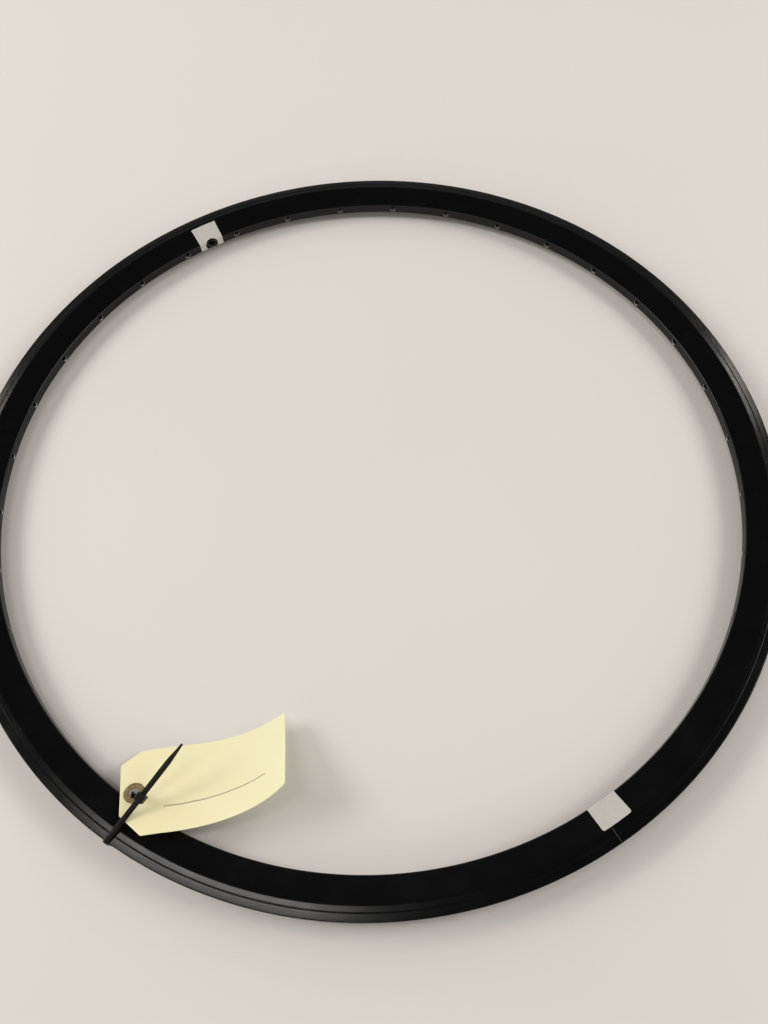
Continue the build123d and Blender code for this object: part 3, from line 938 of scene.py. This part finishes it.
def film_finish(finishes):
    """White label film with a soft gloss and a faintly uneven surface."""
    graph = Graph("label_film")
    waves = graph.noise(graph.coordinates("Object"), 220.0, 2.0)
    grain = graph.noise(graph.coordinates("Object"), 2600.0, 2.0)
    film = finishes.label_film
    base = graph.mix(graph.vary(waves, 0.0, 1.0), opaque(film, 0.94), opaque(film))
    relief = graph.bump(grain, 0.06, 0.03 * MM, graph.bump(waves, 0.10, 0.10 * MM))
    graph.shade(Base_Color=base, Roughness=graph.vary(grain, 0.30, 0.42), Normal=relief)
    return graph.material


def pen_line(graph, along, across, fibres):
    """Share of ink in a ruled line across the card, with all lengths as shares of the card's length.

    The line lies at rise * along + level, with a slow wobble. The ink is full there, fades at the line's
    edges and ends, and is thinner on the brighter fibres."""
    level = graph.math("ADD", graph.math("MULTIPLY", along, PEN_RISE), PEN_LEVEL)
    drift = graph.noise(graph.coordinates("UV", (14.0, 1.0, 1.0)), 1.0, 2.0)
    wobble = graph.span(drift, 0.0, 1.0, -PEN_WOBBLE, PEN_WOBBLE)
    off_line = graph.math("SUBTRACT", graph.math("SUBTRACT", across, level), wobble)
    ink = graph.span(graph.math("ABSOLUTE", off_line), *PEN_EDGE, 1.0, 0.0)
    ink = graph.math("MULTIPLY", ink, graph.span(along, *PEN_START))
    ink = graph.math("MULTIPLY", ink, graph.span(along, *PEN_END, 1.0, 0.0))
    return graph.math("MULTIPLY", ink, graph.span(fibres, 0.25, 0.55, 0.90, 0.60))


def card_finish(finishes):
    """Manila card: long pale and dark fibres, soft mottling, painted light paling its free end, and a pen
    line.
    """
    graph = Graph("manila_card")
    place = graph.coordinates("Object")
    mottle = graph.noise(place, 55.0, 4.0)
    fibres = graph.noise(graph.coordinates("UV", (260.0, 1100.0, 1.0)), 1.0, 5.0, 0.65)
    grain = graph.noise(place, 2300.0, 3.0)
    flat = graph.add("ShaderNodeSeparateXYZ", {0: graph.coordinates("UV")})
    along, across = flat.outputs["X"], flat.outputs["Y"]
    # Painted light: the card turns paler towards its free end, where it is lit most; the mottle adds the
    # card's own uneven tone
    painted_light_and_mottle = graph.math("ADD", graph.span(along, 0.15, 1.0, 0.0, 0.75), graph.vary(mottle, -0.2, 0.3))
    base = graph.mix(painted_light_and_mottle, opaque(finishes.card), opaque(finishes.card_painted_light_and_tone))
    base = graph.mix(graph.span(fibres, 0.56, 0.76, 0.0, 0.22), base, opaque(finishes.card, 0.72))
    base = graph.mix(graph.span(fibres, 0.42, 0.26, 0.0, 0.16), base, opaque(finishes.card_fibres))
    base = graph.mix(pen_line(graph, along, across, fibres), base, opaque(finishes.ink))
    relief = graph.bump(grain, 0.14, 0.05 * MM, graph.bump(fibres, 0.16, 0.08 * MM))
    graph.shade(Base_Color=base, Roughness=graph.vary(mottle, 0.66, 0.80), Normal=relief)
    return graph.material


def fibre_finish(finishes):
    """Brown vulcanised fibre, mottled dark and tan."""
    graph = Graph("brown_fibre")
    blots = graph.noise(graph.coordinates("Object"), 420.0, 4.0, 0.65)
    specks = graph.noise(graph.coordinates("Object"), 2400.0, 2.0)
    fibre = finishes.fibre
    base = graph.mix(graph.span(blots, 0.35, 0.65), opaque(fibre, 0.55), opaque(fibre, 1.7))
    base = graph.mix(graph.span(specks, 0.58, 0.72, 0.0, 0.5), base, opaque(finishes.fibre_specks))
    relief = graph.bump(specks, 0.2, 0.05 * MM)
    graph.shade(Base_Color=base, Roughness=graph.vary(blots, 0.48, 0.66), Normal=relief)
    return graph.material


def nylon_finish(finishes):
    """Black nylon with a fine moulded skin."""
    graph = Graph("black_nylon")
    skin = graph.noise(graph.coordinates("Object"), 3000.0, 2.0)
    clouds = graph.noise(graph.coordinates("Object"), 300.0, 2.0)
    base = graph.mix(clouds, opaque(finishes.nylon, 0.8), opaque(finishes.nylon, 1.5))
    relief = graph.bump(skin, 0.08, 0.03 * MM)
    graph.shade(Base_Color=base, Roughness=graph.vary(clouds, 0.30, 0.40), Normal=relief, IOR=1.3)
    return graph.material


def floor_finish(finishes, settings):
    """Pale sealed floor with a broad soft reflection, fading into the walls' light far from the rim."""
    graph = Graph("pale_floor")
    place = graph.coordinates("Object")
    clouds = graph.noise(place, 2.2, 3.0)
    base = graph.mix(clouds, opaque(finishes.floor, 0.97), opaque(finishes.floor, 1.02))
    graph.shade(Base_Color=base, Roughness=graph.vary(clouds, 0.42, 0.48), IOR=1.4)
    away = graph.add("ShaderNodeVectorMath", {0: place}, operation="LENGTH").outputs["Value"]
    ray = graph.add("ShaderNodeLightPath").outputs
    seen = graph.math("MAXIMUM", ray["Is Camera Ray"], ray["Is Glossy Ray"])
    far = graph.math("MULTIPLY", seen, graph.span(away, settings.fade_start, settings.fade_end))
    light = {"Color": opaque(finishes.wall), "Strength": settings.wall_light}
    wall = graph.add("ShaderNodeEmission", light)
    shaders = {0: far, 1: graph.shader.outputs["BSDF"], 2: wall.outputs["Emission"]}
    blend = graph.add("ShaderNodeMixShader", shaders)
    graph.fill(graph.tree.nodes["Material Output"], {"Surface": blend.outputs["Shader"]})
    return graph.material


# Operators

class MakeRim(bpy.types.Operator):
    """Make the hoop with its drilled holes and seam"""
    bl_idname = "rim.make_hoop"
    bl_label = "Make rim hoop"

    def execute(self, context):
        scene = context.scene
        shell, seam = rim_shell(scene.rim_sizes)
        piece = shell.to_object("rim_hoop_skin", seam_ends(seam), flats_lead=True)
        cut = metal_finish("cut_aluminium", scene.finishes.bare_metal)
        drilled = metal_finish("drilled_aluminium", scene.finishes.drilled_metal)
        finished(piece, [anodised_finish(scene.finishes), cut, drilled], "rim", "rim_hoop")
        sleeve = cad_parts["joint_sleeve"]
        sleeve.data.materials.clear()
        sleeve.data.materials.append(cut)
        return {"FINISHED"}


class MakeLabels(bpy.types.Operator):
    """Make the blank labels at the valve hole and at the seam"""
    bl_idname = "rim.make_labels"
    bl_label = "Make labels"

    def execute(self, context):
        scene = context.scene
        film = film_finish(scene.finishes)
        sizes = (scene.rim_sizes, scene.label_sizes)
        finished(valve_label_shell(*sizes).to_object("valve_label_film"), [film], "label", "valve_label")
        finished(seam_label_shell(*sizes).to_object("seam_label_film"), [film], "label", "seam_label")
        return {"FINISHED"}


class MakeTag(bpy.types.Operator):
    """Make the card tag and its fibre patch"""
    bl_idname = "rim.make_tag"
    bl_label = "Make tag"

    def execute(self, context):
        scene = context.scene
        sizes = (scene.rim_sizes, scene.tag_sizes, scene.tie_sizes)
        card, fibre = card_finish(scene.finishes), fibre_finish(scene.finishes)
        finished(tag_shell(*sizes).to_object("tag_card_sheet"), [card], "card", "tag_card")
        finished(patch_shell(*sizes).to_object("tag_patch_ring"), [fibre], "fibre", "tag_patch")
        return {"FINISHED"}


class MakeTie(bpy.types.Operator):
    """Make the cable tie with its head and toothed strap"""
    bl_idname = "rim.make_tie"
    bl_label = "Make cable tie"

    def execute(self, context):
        scene = context.scene
        tie = scene.tie_sizes
        route, head, way = tie_route(scene.rim_sizes, scene.tag_sizes, tie)
        shell = Shell()
        strap_shell(shell, route, tie)
        head_shell(shell, head, way, tie)
        piece = shell.to_object("cable_tie_strap", flats_lead=True)
        finished(piece, [nylon_finish(scene.finishes)], "tie", "cable_tie")
        return {"FINISHED"}


class Lamp(NamedTuple):
    """Soft rectangular lamp: its place, the direction of its first side, its sides, watts and tint."""
    name: str
    place: tuple
    along: tuple
    sides: tuple
    power: float
    tint: tuple


SENSOR_WIDTH = 36.0
CLIP_START = 0.01
PALE, WARM, AMBER = (1.0, 0.97, 0.94), (1.0, 0.96, 0.91), (1.0, 0.94, 0.86)
LAMPS = (
    Lamp("lamp_left", (-1.89, 1.59, 2.0), (0.44, 0.90, 0.0), (1.4, 1.2), 43.0, WARM),
    Lamp("lamp_right", (2.16, -1.05, 2.0), (0.44, 0.90, 0.0), (1.2, 1.2), 31.0, PALE),
    Lamp("lamp_strip", (-0.595, 0.168, 2.4), (0.665, -0.747, 0.0), (0.85, 0.22), 7.5, PALE),
    Lamp("lamp_far", (2.18, 0.74, 2.4), (1.0, 0.0, 0.0), (0.25, 0.25), 3.4, AMBER),
    Lamp("lamp_side", (-0.725, 2.224, 2.4), (1.0, 0.0, 0.0), (0.25, 0.25), 3.8, AMBER),
)


class MakeStage(bpy.types.Operator):
    """Set the floor, the lamps and the camera"""
    bl_idname = "rim.make_stage"
    bl_label = "Make stage"

    def execute(self, context):
        scene, settings = context.scene, context.scene.stage_settings
        half = settings.floor_size / 2
        corners = [(-half, -half, 0.0), (half, -half, 0.0), (half, half, 0.0), (-half, half, 0.0)]
        mesh = bpy.data.meshes.new("floor")
        mesh.from_pydata(corners, [], [(0, 1, 2, 3)])
        floor = bpy.data.objects.new("floor", mesh)
        floor.data.materials.append(floor_finish(scene.finishes, settings))
        scene.collection.objects.link(floor)
        for lamp in LAMPS:
            self.add_lamp(lamp)
        scene.world = self.room(settings, scene.finishes)
        camera = bpy.data.objects.new("camera", bpy.data.cameras.new("camera"))
        camera.data.lens = settings.lens
        camera.data.sensor_width = SENSOR_WIDTH
        turn = (Matrix.Rotation(settings.camera_yaw, 4, "Z")
                @ Matrix.Rotation(settings.camera_pitch, 4, "X")
                @ Matrix.Rotation(settings.camera_roll, 4, "Z"))
        camera.matrix_world = Matrix.Translation(settings.camera_place) @ turn
        camera.data.clip_start = CLIP_START
        scene.collection.objects.link(camera)
        scene.camera = camera
        scene.view_settings.view_transform = "Standard"
        return {"FINISHED"}

    def room(self, settings, finishes):
        """Light of a room: pale walls up to one height of the sky, and a dim ceiling above a second one."""
        world = bpy.data.worlds.new("room")
        world.use_nodes = True
        nodes, links = world.node_tree.nodes, world.node_tree.links
        upward = nodes.new("ShaderNodeSeparateXYZ")
        links.new(nodes.new("ShaderNodeTexCoord").outputs["Generated"], upward.inputs[0])
        fade = nodes.new("ShaderNodeMapRange")
        fade.interpolation_type = "SMOOTHSTEP"
        spans = {
            "From Min": math.sin(settings.wall_height), "From Max": math.sin(settings.ceiling_height),
            "To Min": settings.wall_light, "To Max": settings.ceiling_light,
        }
        for name, value in spans.items():
            fade.inputs[name].default_value = value
        links.new(upward.outputs["Z"], fade.inputs["Value"])
        shade = nodes["Background"].inputs
        shade["Color"].default_value = opaque(finishes.wall)
        links.new(fade.outputs["Result"], shade["Strength"])
        return world

    def add_lamp(self, lamp):
        """Hangs a lamp that looks at the middle of the rim, with its first side along its direction."""
        light = bpy.data.objects.new(lamp.name, bpy.data.lights.new(lamp.name, "AREA"))
        light.data.shape = "RECTANGLE"
        light.data.size, light.data.size_y = lamp.sides
        light.data.energy = lamp.power
        light.data.color = lamp.tint
        along, back = Vector(lamp.along), Vector(lamp.place).normalized()
        first = (along - back * back.dot(along)).normalized()
        look = Matrix((first, back.cross(first), back)).transposed().to_4x4()
        light.matrix_world = Matrix.Translation(lamp.place) @ look
        bpy.context.scene.collection.objects.link(light)


STEPS = (MakeRim, MakeLabels, MakeTag, MakeTie, MakeStage)


class RimPanel(bpy.types.Panel):
    """Lists the steps that build the rim, and its sizes"""
    bl_idname = "VIEW3D_PT_rim"
    bl_label = "Bicycle rim"
    bl_space_type = "VIEW_3D"
    bl_region_type = "UI"
    bl_category = "Rim"

    def draw(self, context):
        for step in STEPS:
            self.layout.operator(step.bl_idname)
        for name, group in SETTINGS.items():
            box = self.layout.box()
            for key in group.__annotations__:
                box.prop(getattr(context.scene, name), key)


def register():
    for item in (*SETTINGS.values(), *STEPS, RimPanel):
        bpy.utils.register_class(item)
    for name, group in SETTINGS.items():
        setattr(bpy.types.Scene, name, bpy.props.PointerProperty(type=group))


def unregister():
    for name in SETTINGS:
        delattr(bpy.types.Scene, name)
    for item in reversed((*SETTINGS.values(), *STEPS, RimPanel)):
        bpy.utils.unregister_class(item)


def main():
    register()
    bpy.ops.rim.make_hoop()
    bpy.ops.rim.make_labels()
    bpy.ops.rim.make_tag()
    bpy.ops.rim.make_tie()
    bpy.ops.rim.make_stage()


if __name__ == "__main__":
    main()
